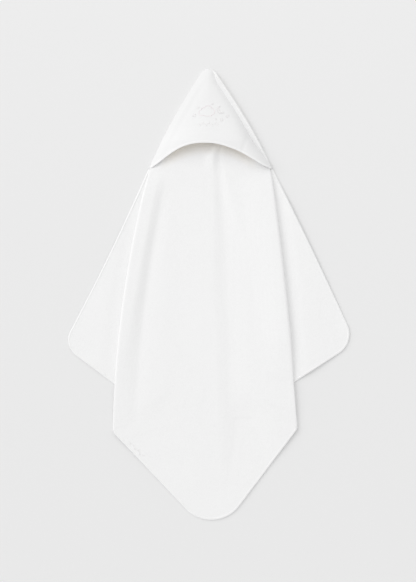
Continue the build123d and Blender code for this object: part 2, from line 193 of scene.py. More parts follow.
def pleatZ(y):                                         # middle layer of a pleat
    return cloth["floor"] + cloth["layer"] * mix(0.3, 1, ease(300, 262, y)) * mix(0.1, 1, ease(-330, -256, y))


def softMax(a, b, k=1.4):                              # the higher of two surfaces, without a crease
    return (a + b + math.sqrt((a - b) ** 2 + k * k)) / 2


def frontZ(x, y):
    stand = cloth["slack"] * ease(-520, -190, y) * mix(0.15, 1, ease(400, 235, y))
    across = x - valueAt(trough["middle"], y)
    drop = ease(-valueAt(trough["left"], y), 3, across) * ease(valueAt(trough["right"], y), 3, across)
    lift = max(0.0, stand - valueAt(trough["depth"], y) * drop)
    swellMiddle = 9 + 0.4 * max(0, y - 335)
    lift += cloth["mouthRise"] * bell(x, swellMiddle, 13) * ease(290, 340, y) * ease(460, 380, y)
    for name, side in sides.items():
        sign, foot, low = side["sign"], Vector(side["fold"][2]), side["innerLow"]
        inside = sign * (foldX(name, min(max(y, foot.y), foldTop)) - x)
        lowerEdge = mix(foot.y, low.y, min(1, max(0, (x - foot.x) / (low.x - foot.x))))
        over = ease(10, innerFold + 16, sign * x) * ease(-55, 24, y - lowerEdge) * ease(322, 298, y)
        over *= pleatZ(y) + cloth["layer"] - cloth["floor"]
        lift = softMax(lift, over) if over > 0.01 else lift
        top = pleatZ(y) - cloth["floor"] + valueAt(ridge[name], y)
        if name == "left":
            band = ease(valueAt(bandEnd, y), valueAt(bandStart, y), inside)
            lift -= cloth["leftValley"] * bell(inside, 54, 14) * ease(-330, -240, y) * ease(290, 180, y)
        else:
            band = ease(85, 6, inside)
        band *= ease(foot.y - 60, foot.y + 24, y) * ease(306, 292, y)
        lift += max(0.0, top - lift) * band
    border = ease(footY, footY + 60, y) * ease(tipY, tipY - 60, y)
    if y > 296:                                        # pressed down where the hood is sewn on
        sewn = ease(1, 24, min(x - legX("left", y), legX("right", y) - x))
        pressed = mix(1, sewn, ease(296, 312, y))
        lift *= pressed
        border *= pressed
    lift += cloth["waves"] * border * (1 + wave(x, y * 0.5, 70, 1) + 0.5 * wave(x, y, 40, 2))
    return cloth["floor"] + max(0.0, lift)


def wingZ(name, x, y):
    away = sides[name]["sign"] * (x - foldX(name, max(y, -330)))
    rise = 0.5 + 0.5 * wave(x, y, 80, 4) + 0.25 * wave(x, y, 35, 5)
    swell = (2.4 if name == "right" else 0.9) * ease(4, 40, away) * ease(130, 45, away)
    return cloth["floor"] + max(0.0, rise * ease(6, 50, away) + swell)


hood = {"thickness": 2.0, "edge": 3.8, "halfAngleCosine": 0.87,
        "rim": 3.4, "rimWidth": 12, "rimDip": 0.7,     # roll along the right edge, and the dip beside it
        "leftBand": 0.35, "fan": 0.9,                  # a pressed band on the left, a crease on the right
        "rise": [(302, 25), (366, 25), (390, 20), (420, 14.5), (460, 10), (510, 5.5), (540, 1.5)],
        "leftPower": [(302, 3), (366, 2.6), (400, 1.8), (440, 1.5), (540, 1.5)],
        "rightPower": [(302, 9), (371, 8), (419, 7), (467, 4.5), (540, 3)]}
hem = [(-143, 302), (-138, 303.5), (-128, 309), (-116, 318), (-96, 334), (-68, 351), (-44, 359), (-26, 361.5),
       (-8, 362), (12, 361), (32, 357), (64, 346), (86, 335), (100, 327), (116, 317), (128, 310), (142, 304),
       (153, 302)]


def hemY(x):                                           # smoothed through its neighbours
    near = [valueAt(hem, min(153, max(-143, x + d))) for d in (-9, -4.5, 0, 4.5, 9)]
    return sum(near) / 5 if -134 < x < 144 else valueAt(hem, x)


def rimShare(y):                                       # 1 where the rim has its full height, 0 at its ends
    return ease(304, 375, y) * ease(541, 522, y)


def hoodZ(x, y):
    left, right, slope = legX("left", y), legX("right", y), hood["halfAngleCosine"]
    fromLeft, fromRight = max(0.0, x - left) * slope, max(0.0, right - x) * slope
    half = max(2.0, (right - left) / 2 * slope)
    width = min(hood["rimWidth"], 0.4 * half) * rimShare(y)
    fromRim = max(0.0, fromRight - width)
    crown = 1 - (1 - min(1, fromLeft / half)) ** valueAt(hood["leftPower"], y)
    crown *= 1 - (1 - min(1, fromRim / half)) ** valueAt(hood["rightPower"], y)
    z = hood["edge"] + valueAt(hood["rise"], y) * crown
    z += hood["rim"] * rimShare(y) * max(0.0, 1 - fromRight / max(width, 1)) ** 1.6
    z -= hood["rimDip"] * rimShare(y) * bell(fromRight, width + 2, 4)
    creaseAt = 23.5 + 0.76 * (371 - y)
    z -= hood["fan"] * bell(fromRight, creaseAt, 4) * ease(326, 345, y) * ease(392, 375, y)
    band = bell(fromLeft, 12, 5) - 0.8 * bell(fromLeft, 22, 5)
    z += hood["leftBand"] * band * ease(525, 480, y) * ease(302, 340, y)
    return z + 0.4 * wave(x, y, 45, 8) * ease(4, 20, min(fromLeft, fromRight))


# Mesh making

def finished(name, bm):
    mesh = bpy.data.meshes.new(name)
    bm.to_mesh(mesh)
    bm.free()
    piece = bpy.data.objects.new(name, mesh)
    bpy.context.scene.collection.objects.link(piece)
    for face in mesh.polygons:
        face.use_smooth = True
    return piece


def grid(bm, columns, rows, shape):                    # a grid moved into place by shape(u, v), in mm
    for vert in bmesh.ops.create_grid(bm, x_segments=columns, y_segments=rows, size=1)["verts"]:
        vert.co = Vector(shape((vert.co.x + 1) / 2, (vert.co.y + 1) / 2)) * mm


def sheetPiece(name, bm, thickness):                   # gives a surface its thickness and a closed rim
    bmesh.ops.remove_doubles(bm, verts=bm.verts, dist=3e-5)
    bmesh.ops.recalc_face_normals(bm, faces=bm.faces)
    piece = finished(name, bm)
    modifier = piece.modifiers.new("Thickness", "SOLIDIFY")
    modifier.thickness = thickness * mm
    modifier.offset = 0
    modifier.use_quality_normals = True
    graph = bpy.context.evaluated_depsgraph_get()
    mesh = bpy.data.meshes.new_from_object(piece.evaluated_get(graph))
    piece.modifiers.clear()
    piece.data = mesh
    return piece


def frames(path, inward):                              # each point with its ways along, inward and up
    out = []
    for i, point in enumerate(path):
        tangent = (path[min(i + 1, len(path) - 1)] - path[max(i - 1, 0)]).normalized()
        across = (inward[i] - tangent * inward[i].dot(tangent)).normalized()
        out.append((point, tangent, across, tangent.cross(across)))
    flip = -1 if out[len(out) // 2][3].z < 0 else 1
    return [(p, t, a, u * flip) for p, t, a, u in out]


def sideways(path, target):                            # level way towards the cloth at each point
    out = []
    for i, point in enumerate(path):
        tangent = path[min(i + 1, len(path) - 1)] - path[max(i - 1, 0)]
        across = Vector((-tangent.y, tangent.x, 0)).normalized()
        aim = target(point) - point
        out.append(across if across.dot(aim) > 0 else -across)
    return out


def sweep(bm, places, ring):                           # a closed ring of (inward, up) points along the places
    rings = []
    for i, (p, _, a, u) in enumerate(places):
        rings.append([bm.verts.new((p + a * n + u * h) * mm) for n, h in ring(i)])
    for one, two in zip(rings, rings[1:]):
        for k in range(len(one)):
            bm.faces.new((one[k], one[k - 1], two[k - 1], two[k]))
    bm.faces.new(rings[0])
    bm.faces.new(rings[-1][::-1])


tape = {"width": 5.0, "half": 1.5, "beyond": 0.6, "pull": 0.18,
        "swell": 0.08, "clear": 0.15}                  # unevenness of its height, and its room below


def tapeRing(halfHeights, seed):                       # a folded tape, rounded over the cloth's edge
    def ring(i):
        w = tape["width"] - tape["beyond"] + tape["pull"] * wave(i, 0, 5, seed)
        h = halfHeights[i] + tape["swell"] * wave(i, 9, 3, seed)
        top = [(w, h * 0.8), (w - 0.35, h * 0.98), (w - 1.2, h * 0.93),
               (1.2, h), (0.3, h * 0.86), (-0.4, h * 0.5)]
        return top + [(-tape["beyond"], 0)] + [(a, -b) for a, b in reversed(top)]
    return ring


def perPoint(half, path):                              # half a tape's height at each point of its path
    return half if isinstance(half, list) else [half] * len(path)


def tapePiece(name, path, inward, half, seed):
    bm = bmesh.new()
    sweep(bm, frames(path, inward), tapeRing(perPoint(half, path), seed))
    bmesh.ops.recalc_face_normals(bm, faces=bm.faces)
    return finished(name, bm)


thread = {"sewing": 0.42, "pitch": 3.4, "stitch": 2.75, "inset": 3.4, "satin": 0.24, "satinPitch": 0.42}


def strand(bm, points, up, radius, corners=5):         # one thread, thinner where it goes into the cloth
    rings = []
    turns = [2 * math.pi * k / corners for k in range(corners)]
    for i, point in enumerate(points):
        tangent = (points[min(i + 1, len(points) - 1)] - points[max(i - 1, 0)]).normalized()
        across = tangent.cross(up).normalized()
        r = radius * (0.62 if i in (0, len(points) - 1) else 1)
        rings.append([bm.verts.new((point + across * r * math.cos(t) + up * r * 0.8 * math.sin(t)) * mm)
                      for t in turns])
    for one, two in zip(rings, rings[1:]):
        for k in range(corners):
            bm.faces.new((one[k], one[k - 1], two[k - 1], two[k]))
    bm.faces.new(rings[0])
    bm.faces.new(rings[-1][::-1])


def seamPiece(name, path, inward, half):               # a row of lockstitches on the tape
    bm = bmesh.new()
    inset = thread["inset"] - tape["beyond"]
    places = frames(path, inward)
    halfHeights = perPoint(half, path)
    lengths = [0.0]
    for a, b in zip(path, path[1:]):
        lengths.append(lengths[-1] + (b - a).length)

    def at(distance):
        i = next((k for k in range(1, len(lengths)) if lengths[k] >= distance), len(lengths) - 1)
        t = min(1, (distance - lengths[i - 1]) / max(1e-6, lengths[i] - lengths[i - 1]))
        p, _, a, u = [one.lerp(two, t) for one, two in zip(places[i - 1], places[i])]
        return p, a, u, mix(halfHeights[i - 1], halfHeights[i], t)
    for k in range(int(lengths[-1] / thread["pitch"])):
        points, up = [], None
        for share, height in ((0, -0.3), (0.18, 0.12), (0.5, 0.22), (0.82, 0.12), (1, -0.3)):
            p, a, up, high = at(k * thread["pitch"] + 0.4 + share * thread["stitch"])
            points.append(p + a * (inset + 0.12 * wave(k, 3, 1.7)) + up * (high * 0.95 + height))
        strand(bm, points, up, thread["sewing"])
    bmesh.ops.recalc_face_normals(bm, faces=bm.faces)
    return finished(name, bm)


# Front: one cloth from the lower corner to the tip of the hood, its sides turned under twice

turned = {"rows": 150, "columns": 28, "innerRadius": 1.4,
          "rolled": 8, "back": 20, "inner": 26}        # columns at which the parts of the fold end


def frontEdges():                                      # the left and right end of each row of the front
    rows = {}
    for name, side in sides.items():
        foot = side["fold"][2][1]
        lower = resample(footHalves[name], count=61)[1:-1]
        upper = list(reversed(resample(hoodHalves[name], count=61)[1:]))
        folded = [mix(foot, foldTop, i / turned["rows"]) for i in range(turned["rows"] + 1)]
        folded = [Vector((foldX(name, y) - side["sign"] * cloth["foldRadius"], y)) for y in folded]
        rows[name] = lower + folded + upper
        side["foldRows"] = folded
    return rows["left"], rows["right"]


def frontPiece():
    bm = bmesh.new()
    left, right = frontEdges()
    count = len(left) - 1

    def middle(u, v):
        k = round(v * count)
        x, y = left[k].lerp(right[k], u)
        return x, y, frontZ(x, y)
    grid(bm, 96, count, middle)
    for side in sides.values():
        sign, low, seam, foot = side["sign"], side["innerLow"], side["seamLow"], side["fold"][2][1]
        rolled, back, inner, depth = turned["rolled"], turned["back"], turned["inner"], turned["innerRadius"]

        def under(u, v):
            x, y = side["foldRows"][round(v * turned["rows"])]
            w, top, down = round(u * turned["columns"]), frontZ(x, y), (foldTop - y) / (foldTop - foot)
            if w <= rolled:                            # rolled edge
                turn, radius = math.pi * w / rolled, (top - pleatZ(y)) / 2
                return x + sign * radius * math.sin(turn), y, top - radius + radius * math.cos(turn)
            if w <= back:                              # back under the front
                share = (w - rolled) / (back - rolled)
                y2 = y + (low.y - foot) * down * share
                return mix(x, sign * (innerFold + depth), share), y2, mix(pleatZ(y), pleatZ(y2), share)
            y += (low.y - foot) * down
            if w <= inner:                             # inner fold
                turn, radius = math.pi * (w - back) / (inner - back), (pleatZ(y) - cloth["floor"]) / 2
                return (sign * (innerFold + depth - depth * math.sin(turn)), y,
                        cloth["floor"] + radius + radius * math.cos(turn))
            share = (w - inner) / (turned["columns"] - inner)             # out again, as far as the wing
            y += (seam.y - low.y) * share * down
            return sign * mix(innerFold + depth, seamEnd, share), y, cloth["floor"]
        grid(bm, turned["columns"], turned["rows"], under)
    return sheetPiece("front_cloth", bm, cloth["thickness"])


# Wings: the side corners of the same cloth, from under the front outwards

def wingPiece(name):
    side = sides[name]
    sign, seam, outline = side["sign"], side["seamLow"], side["outline"]
    widest = max(range(len(outline)), key=lambda i: sign * outline[i].x)
    columns, rows = 60, 110
    outer = resample(outline[:widest + 1], count=rows + 1)
    lower = resample([seam] + outline[:widest - 1:-1], count=columns + 1)
    innerTop = Vector((sign * seamEnd, foldTop))
    top = [innerTop.lerp(Vector(side["hoodEnd"]), i / columns) for i in range(columns + 1)]
    inner = [innerTop.lerp(seam, i / rows) for i in range(rows + 1)]

    def shape(u, v):                                   # a patch between its four edges
        i, k = round(u * columns), round(v * rows)
        flat = (1 - u) * inner[k] + u * outer[k] + (1 - v) * top[i] + v * lower[i]
        flat -= ((1 - u) * (1 - v) * inner[0] + u * (1 - v) * outer[0]
                 + (1 - u) * v * inner[-1] + u * v * outer[-1])
        return flat.x, flat.y, wingZ(name, flat.x, flat.y)
    bm = bmesh.new()
    grid(bm, columns, rows, shape)
    return sheetPiece(name + "_wing_sheet", bm, cloth["thickness"])


def bend(piece, body):                                 # attaches root pieces to the root body; any other piece only has its placement baked into its mesh
    if body == "root":
        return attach(piece, "root")
    joint = joints[body]
    place, axis = Vector(joint["pos_m"]), Vector(joint["axis"])
    out = axis.cross(Vector((0, 0, 1))).normalized()
    if body == "foot":
        out = Vector((0, -1, 0))
    elif out.dot(Vector((sides[body[:-5]]["sign"], 0, 0))) < 0:
        out = -out
    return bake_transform(piece)


frontCloth = frontPiece()
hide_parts("towel_centre", "foot_cloth", "left_pleat_middle", "right_pleat_middle",
            "left_pleat_base", "right_pleat_base")
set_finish(frontCloth, "terry")
bend(frontCloth, "foot")
wings = {name: wingPiece(name) for name in sides}
for name, piece in wings.items():
    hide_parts(name + "_wing_cloth")
    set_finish(piece, "terry")
    bend(piece, name + "_wing")
print("cloth made")

# Tape and stitches round the edges

def clear(z):                                          # kept high enough for the tape's lower half
    return max(tape["half"] + tape["clear"], z)


def lifted(points, height):
    return [Vector((p.x, p.y, clear(height(p.x, p.y)))) for p in points]


def footTape():                                        # from one inner fold to the other, by the lower corner
    path, inward = [], []
    for name in ("left", "right"):
        side = sides[name]
        sign, low, (fx, fy) = side["sign"], side["innerLow"], side["fold"][2]
        centreX = fx - sign * cloth["foldRadius"]
        top, bottom = frontZ(centreX, fy), pleatZ(fy)
        radius = (top - bottom) / 2
        under = resample([low, Vector((centreX, fy))], step=4)
        ends = [clear(z) for z in (pleatZ(low.y), bottom)]
        part = [Vector((p.x, p.y, mix(*ends, i / (len(under) - 1)))) for i, p in enumerate(under)]
        lowIn = Vector((sign * 0.52, 0.85, 0))
        ways = [lowIn.copy() for _ in part]
        for k in range(1, 10):
            turn = math.pi * k / 10
            part.append(Vector((centreX + sign * radius * math.sin(turn), fy,
                                bottom + radius - radius * math.cos(turn))))
            ways.append(Vector((-sign * 0.08, 1, 0)).lerp(lowIn if k < 5 else Vector((-sign * 0.72, 0.7, 0)),
                                                         abs(k - 5) / 5))
        edge = lifted(resample(list(reversed(footHalves[name])), step=2.5)[2:], frontZ)
        part += edge
        ways += sideways(edge, lambda p: Vector((8, -200, p.z)))
        if name == "left":
            path, inward = part, ways
        else:
            path += list(reversed(part[:-1]))
            inward += list(reversed(ways[:-1]))
    return path, inward


tapes, seams = {}, {}
path, inward = footTape()
tapes["front"] = tapePiece("front_binding", path, inward, tape["half"], 1)
seams["front"] = seamPiece("front_stitching", path, inward, tape["half"])
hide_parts("front_edge_binding", "foot_binding", "left_pleat_binding", "right_pleat_binding")
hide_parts("front_edge_stitching", "foot_stitching")
bend(tapes["front"], "foot")
bend(seams["front"], "foot")
for name, side in sides.items():
    edge = side["outline"] + [side["seamLow"]]
    path = lifted(resample(edge, step=2.5), lambda x, y: wingZ(name, x, y))
    inward = sideways(path, lambda p: Vector((side["sign"] * 235, -20, p.z)))
    tapes[name] = tapePiece(name + "_wing_tape", path, inward, tape["half"], 2)
    seams[name] = seamPiece(name + "_wing_seam", path, inward, tape["half"])
    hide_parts(name + "_wing_binding", name + "_base_binding")
    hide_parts(name + "_wing_stitching")
    bend(tapes[name], name + "_wing")
    bend(seams[name], name + "_wing")


# Hood: a smooth panel sewn to both upper edges, open along its hem

def hoodPiece():
    columns, rows = 90, 72
    left, right = [resample(hoodHalves[name], count=rows + 2)[:0:-1] for name in ("left", "right")]

    def shape(u, v):
        k = round(v * rows)
        x, y = left[k].lerp(right[k], u)
        y += (hemY(mix(left[0].x, right[0].x, u)) - hoodY) * (1 - v)
        return x, y, hoodZ(x, y)
    bm = bmesh.new()
    grid(bm, columns, rows, shape)
    return sheetPiece("hood_cloth", bm, hood["thickness"])


hoodCloth = hoodPiece()
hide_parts("hood_panel")
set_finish(hoodCloth, "hood_cloth")
bend(hoodCloth, "root")

halfHeights = [2.55 + 0.5 * hood["rim"] * rimShare(p.y) * ease(-6, 12, p.x) for p in hoodPath]
path = [Vector((p.x, p.y, half + 0.05)) for p, half in zip(hoodPath, halfHeights)]
inward = sideways(path, lambda p: Vector((5, 380, p.z)))
tapes["hood"] = tapePiece("hood_side_tape", path, inward, halfHeights, 4)
seams["hood"] = seamPiece("hood_side_seam", path, inward, halfHeights)
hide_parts("hood_side_binding")
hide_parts("hood_side_stitching")


def hemPath():
    points = resample([Vector((x, hemY(x))) for x in range(-140, 151, 2)], step=2.5)
    path = lifted(points, hoodZ)
    inward = []
    for i, point in enumerate(path):
        tangent = path[min(i + 1, len(path) - 1)] - path[max(i - 1, 0)]
        n = Vector((-tangent.y, tangent.x)).normalized()
        n = n if n.y > 0 else -n
        rise = (hoodZ(point.x + 4 * n.x, point.y + 4 * n.y) - point.z) / 4
        inward.append(Vector((n.x, n.y, rise)))
    return path, inward


path, inward = hemPath()
tapes["hem"] = tapePiece("hem_tape", path, inward, tape["half"], 5)
seams["hem"] = seamPiece("hem_seam", path, inward, tape["half"])
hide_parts("hood_hem_binding")
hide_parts("hood_hem_stitching")
for key in ("hood", "hem"):
    bend(tapes[key], "root")
    bend(seams[key], "root")
for piece in tapes.values():
    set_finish(piece, "binding_tape")
for piece in seams.values():
    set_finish(piece, "sewing_thread")
print("tape and stitches made")


# Embroidery: single threads laid side by side, each over the edge of its shape

def onHood(x, y, height):
    return Vector((x, y, hoodZ(x, y) + hood["thickness"] / 2 + height))


def onFront(x, y, height):
    return Vector((x, y, frontZ(x, y) + cloth["thickness"] / 2 + height))


def stitch(bm, surface, start, end, crown):            # crown: height of its middle above the cloth
    points = []
    for share, height in ((0, -0.2), (0.2, 0.62), (0.5, 1), (0.8, 0.62), (1, -0.2)):
        x, y = start.lerp(end, share)
        points.append(surface(x, y, crown * height if height > 0 else -0.25))
    strand(bm, points, Vector((0, 0, 1)), thread["satin"], 4)


def satinLine(bm, surface, path, width, crown=0.4, closed=False):
    points = resample(path + path[:1] if closed else path, step=thread["satinPitch"])
    for i, p in enumerate(points):
        t = (points[min(i + 1, len(points) - 1)] - points[max(i - 1, 0)]).normalized()
        n = Vector((-t.y, t.x)) * (width / 2 * (1 + 0.08 * wave(i, 2, 2.3)))
        stitch(bm, surface, p - n, p + n, crown)


def radial(bm, surface, centre, reach, inner):         # stitches from the middle out, as far as reach(turn)
    turn = 0.0
    while turn < 2 * math.pi:
        out = reach(turn)
        way = Vector((math.cos(turn), math.sin(turn)))
        stitch(bm, surface, centre + way * inner, centre + way * out, 0.4)
        turn += thread["satinPitch"] / (0.62 * out)


def leaf(bm, surface, centre, angle, length, width):
    way = Vector((math.cos(angle), math.sin(angle)))
    count = max(3, round(2 * length / thread["satinPitch"]))
    for k in range(count):
        t = -1 + 2 * (k + 0.5) / count
        half = Vector((-way.y, way.x)) * max(0.35, width * math.sqrt(1 - t * t))
        stitch(bm, surface, centre + way * length * t - half, centre + way * length * t + half, 0.4)


def hexagram(size):
    def reach(turn):
        part = (turn % (math.pi / 3)) / (math.pi / 3)
        return size / (1 + 0.73 * (1 - abs(2 * part - 1)))
    return reach


def petals(size):
    return lambda turn: size * (0.62 + 0.38 * abs(math.cos(2.5 * turn)) ** 0.7)


def embroidered(name, node, draw, surface):
    bm = bmesh.new()
    draw(bm, surface)
    bmesh.ops.recalc_face_normals(bm, faces=bm.faces)
    piece = finished(name, bm)
    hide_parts(node)
    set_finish(piece, "embroidery_thread")
    return piece


motif = {"centre": Vector((7, 428)), "line": 1.5, "cloudAt": (-10, 8),
         "puffs": [(-14, -2, 7), (-8, 3, 8), (2, 6, 10), (10, 1, 8.5), (-2, -3, 8), (6, -3, 8)],
         "moonAt": (22, 13), "moon": 10, "bite": 8.5, "biteAt": (6, 3),
         "stars": [(2, 28, 4), (-32, 19, 3.5), (38, -2, 5), (10, -9, 3.5)],
         "flowers": [(-41, 0, 5.5), (24, -11, 4.5)], "sprigAt": (-6, -21)}
hoodLeaves = {"count": 7, "pitch": 7.5, "spread": 50, "off": 2.6, "length": 3.2, "width": 1.3}
edgeLeaves = {"count": 6, "pitch": 8.5, "spread": 45, "off": 2.2, "length": 3.4, "width": 1.3}


def drawCloud(bm, surface):
    middle = motif["centre"] + Vector(motif["cloudAt"])
    outline = []
    for k in range(120):
        way = Vector((math.cos(math.pi * k / 60), math.sin(math.pi * k / 60)))
        far = 0
        for x, y, r in motif["puffs"]:
            along = way.dot(Vector((x, y)))
            inside = r * r - (Vector((x, y)).length_squared - along * along)
            far = max(far, along + math.sqrt(inside) if inside > 0 else 0)
        outline.append(middle + way * (far - motif["line"] / 2))
    satinLine(bm, surface, outline, motif["line"], closed=True)


def drawMoon(bm, surface):
    centre = motif["centre"] + Vector(motif["moonAt"])
    bite, turn = centre + Vector(motif["biteAt"]), 0.0
    while turn < 2 * math.pi:
        way = Vector((math.cos(turn), math.sin(turn)))
        along = way.dot(centre - bite)
        far = along + math.sqrt(max(0, motif["moon"] ** 2 - (centre - bite).length_squared + along * along))
        if far > motif["bite"] + 0.3:
            stitch(bm, surface, bite + way * motif["bite"], bite + way * far, 0.6)
        turn += thread["satinPitch"] / max(motif["bite"], 0.8 * far)


def drawStars(bm, surface):
    for x, y, size in motif["stars"]:
        radial(bm, surface, motif["centre"] + Vector((x, y)), hexagram(size), 0.35)


def drawFlowers(bm, surface):
    for x, y, size in motif["flowers"]:
        radial(bm, surface, motif["centre"] + Vector((x, y)), petals(size), 0.9)


def sprig(middle, along, leaves):                      # a stem with leaves on both sides in turn
    stem, pitch = leaves["pitch"] * (leaves["count"] - 1), leaves["pitch"]
    start = middle - along * (stem / 2)

    def draw(bm, surface):
        across = Vector((-along.y, along.x))
        satinLine(bm, surface, [start, start + along * pitch * (leaves["count"] - 1)], 0.9, 0.35)
        for k in range(leaves["count"]):
            side = 1 if k % 2 else -1
            place = start + along * pitch * k + across * side * leaves["off"]
            angle = math.atan2(along.y, along.x) + side * math.radians(leaves["spread"])
            leaf(bm, surface, place, angle, leaves["length"], leaves["width"])
    return draw


hoodSprig = sprig(motif["centre"] + Vector(motif["sprigAt"]), Vector((1, 0)), hoodLeaves)
motifs = [embroidered("hood_cloud", "motif_cloud", drawCloud, onHood),
          embroidered("hood_moon", "motif_moon", drawMoon, onHood),
          embroidered("hood_stars", "motif_stars", drawStars, onHood),
          embroidered("hood_flowers", "motif_flowers", drawFlowers, onHood),
          embroidered("hood_sprig", "motif_sprig", hoodSprig, onHood)]
for piece in motifs:
    bend(piece, "root")
low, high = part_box("edge_sprig")
edgeWay = (Vector(footTip) - Vector(sides["left"]["fold"][2])).normalized()
edgeMiddle = Vector(((low.x + high.x) / 2 / mm, (low.y + high.y) / 2 / mm))
edgeSprig = embroidered("lower_sprig", "edge_sprig", sprig(edgeMiddle, edgeWay, edgeLeaves), onFront)
bend(edgeSprig, "foot")

# Bar tacks at the ends of the hem, the backing behind the embroidery and the blank care label

for name in sides:
    low, high = [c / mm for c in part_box(name + "_bar_tack")]
    middle = (low + high) / 2
    bm = bmesh.new()
    count = round((high.x - low.x) / thread["satinPitch"])
    for k in range(count):
        x = low.x + (k + 0.5) * (high.x - low.x) / count
        points = [Vector((x, middle.y + w, max(high.z - 0.55, 5.0) + h)) for w, h in
                  ((-1.1, -0.4), (-0.6, 0.3), (0, 0.45), (0.6, 0.3), (1.1, -0.4))]
        strand(bm, points, Vector((0, 0, 1)), thread["satin"], 4)
    bmesh.ops.recalc_face_normals(bm, faces=bm.faces)
    tack = finished(name + "_tack", bm)
    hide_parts(name + "_bar_tack")
    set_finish(tack, "sewing_thread")
    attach(tack, "root")

backingSize = (104, 64)


def backingShape(u, v):                                # a round grid: the square is pulled out to an ellipse
    a, b = 2 * u - 1, 2 * v - 1
    x = motif["centre"].x + backingSize[0] / 2 * a * math.sqrt(1 - b * b / 2)
    y = motif["centre"].y + backingSize[1] / 2 * b * math.sqrt(1 - a * a / 2)
    return x, y, hoodZ(x, y) - hood["thickness"] / 2 - 0.45


bm = bmesh.new()
grid(bm, 30, 24, backingShape)
backing = sheetPiece("hood_backing", bm, 0.6)
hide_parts("embroidery_backing")
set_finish(backing, "backing_fleece")
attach(backing, "root")
low, high = [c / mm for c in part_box("care_label")]


def labelShape(u, v):
    x, y = mix(low.x, high.x, u), mix(low.y, high.y, v)
    return x, y, mix(2.9, pleatZ(y) - 1.6, v) + 0.1 * wave(x, y, 12)


bm = bmesh.new()
grid(bm, 10, 16, labelShape)
label = sheetPiece("blank_label", bm, 0.15)
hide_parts("care_label")
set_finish(label, "label_tape")
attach(label, "root")
print("embroidery and small parts made")


# Finishes

def linear(text):                                      # sRGB hex to linear colour
    parts = [int(text[i:i + 2], 16) / 255 for i in (0, 2, 4)]
    return [c / 12.92 if c <= 0.04045 else ((c + 0.055) / 1.055) ** 2.4 for c in parts] + [1]


def add(tree, kind, sockets=None, **settings):         # a node with its settings, input values and links
    node = tree.nodes.new(kind)
    for key, value in settings.items():
        setattr(node, key, value)
    for key, value in (sockets or {}).items():
        if isinstance(value, bpy.types.NodeSocket):
            tree.links.new(value, node.inputs[key])
        else:
            node.inputs[key].default_value = value
    return node


def finish(name, colour, rough, **sockets):
    material = bpy.data.materials.new(name)
    material.use_nodes = True
    tree = material.node_tree
    shader = tree.nodes["Principled BSDF"]
    shader.inputs["Base Color"].default_value = linear(colour)
    shader.inputs["Roughness"].default_value = rough
    for key, value in sockets.items():
        shader.inputs[key.replace("_", " ")].default_value = value
    return material, tree, shader


def patterned(name, colour, hollow, rough, pattern, depth, **sockets):
    material, tree, shader = finish(name, colour, rough, **sockets)
    place = add(tree, "ShaderNodeTexCoord").outputs["Object"]
    height = pattern(tree, place)                      # 0 in the hollows to 1 on the threads
    shade = add(tree, "ShaderNodeMix", {"Factor": height, "A": linear(hollow), "B": linear(colour)},
                data_type="RGBA")
    bump = add(tree, "ShaderNodeBump", {"Height": height, "Strength": 0.8, "Distance": depth * mm})
    tree.links.new(shade.outputs["Result"], shader.inputs["Base Color"])
    tree.links.new(bump.outputs["Normal"], shader.inputs["Normal"])
    return material


def wovenPattern(pitch, turn=0, uneven=0.35, ribs=False):       # threads crossing at this pitch in mm
    waveLength = 0.314                                 # of a wave texture at scale 1, in metres
    threads = {"Scale": waveLength / (pitch * mm), "Distortion": uneven, "Detail": 1.0, "Detail Scale": 2.0}

    def pattern(tree, place):
        mapping = add(tree, "ShaderNodeMapping", {"Vector": place, "Rotation": (0, 0, math.radians(turn))})
        grain = mapping.outputs["Vector"]
        warp = add(tree, "ShaderNodeTexWave", {"Vector": grain, **threads}, bands_direction="X")
        if ribs:
            return warp.outputs["Fac"]
        weft = add(tree, "ShaderNodeTexWave", {"Vector": grain, **threads}, bands_direction="Y")
        crossing = {0: warp.outputs["Fac"], 1: weft.outputs["Fac"]}
        both = add(tree, "ShaderNodeMath", crossing, operation="ADD").outputs[0]
        slubs = add(tree, "ShaderNodeTexNoise", {"Vector": grain, "Scale": 1 / (7 * mm), "Detail": 4.0})
        lift = add(tree, "ShaderNodeMath", {0: both, 1: slubs.outputs["Fac"]}, operation="ADD").outputs[0]
        scaled = add(tree, "ShaderNodeMath", {0: lift, 1: 0.36}, operation="MULTIPLY", use_clamp=True)
        return scaled.outputs[0]
    return pattern


def fibrePattern(size, detail):                        # loose fibres lying every way, this far apart in mm
    def pattern(tree, place):
        return add(tree, "ShaderNodeTexNoise", {"Vector": place, "Scale": 1 / (size * mm), "Detail": detail,
                                                "Roughness": 0.65, "Distortion": 0.6}).outputs["Fac"]
    return pattern


